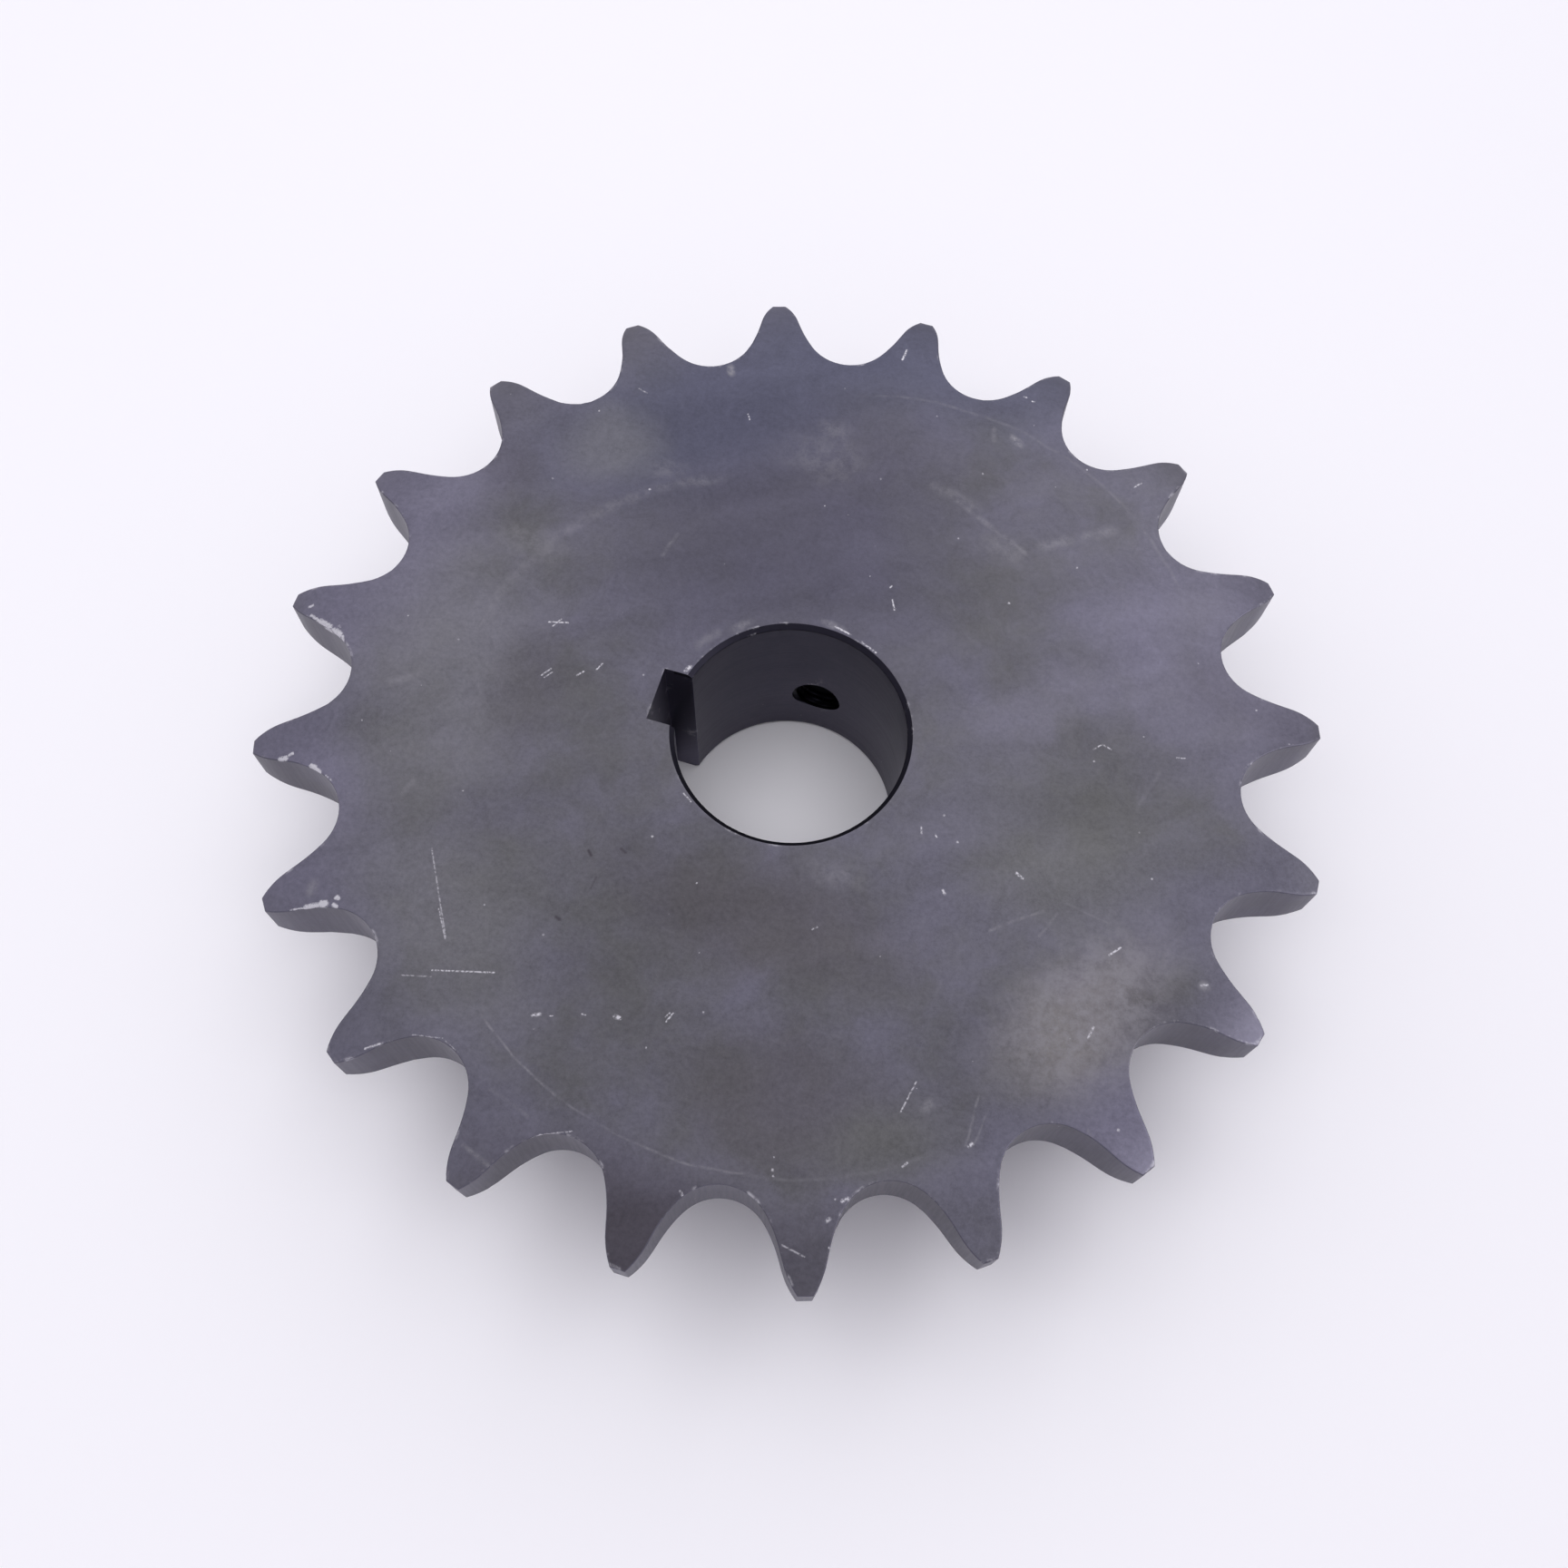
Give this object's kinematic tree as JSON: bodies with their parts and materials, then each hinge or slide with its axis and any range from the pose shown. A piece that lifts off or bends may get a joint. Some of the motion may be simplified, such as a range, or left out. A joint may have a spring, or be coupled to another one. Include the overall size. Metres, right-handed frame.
{
  "type": "chain sprocket",
  "caption": "Roller-chain sprocket with a hub on one side and a keyed bore for its shaft, held by socket set screws.",
  "frame": {"origin": "on the bore's axis, at the hub's end face, which the sprocket rests on", "axes": "+Z along the bore, from the hub to the toothed plate; the keyway opens towards -X, under the middle of a tooth; the second set screw comes in from +Y"},
  "size_m": [0.1756, 0.1756, 0.0381],
  "materials": {
    "blackened_steel": "satin black oxide, mottled, with handling marks",
    "screw_steel": "black oxide, lightly oiled"
  },
  "bodies": {
    "root": {"sprocket_body": "blackened_steel", "set_screws": "screw_steel"}
  },
  "joints": []
}
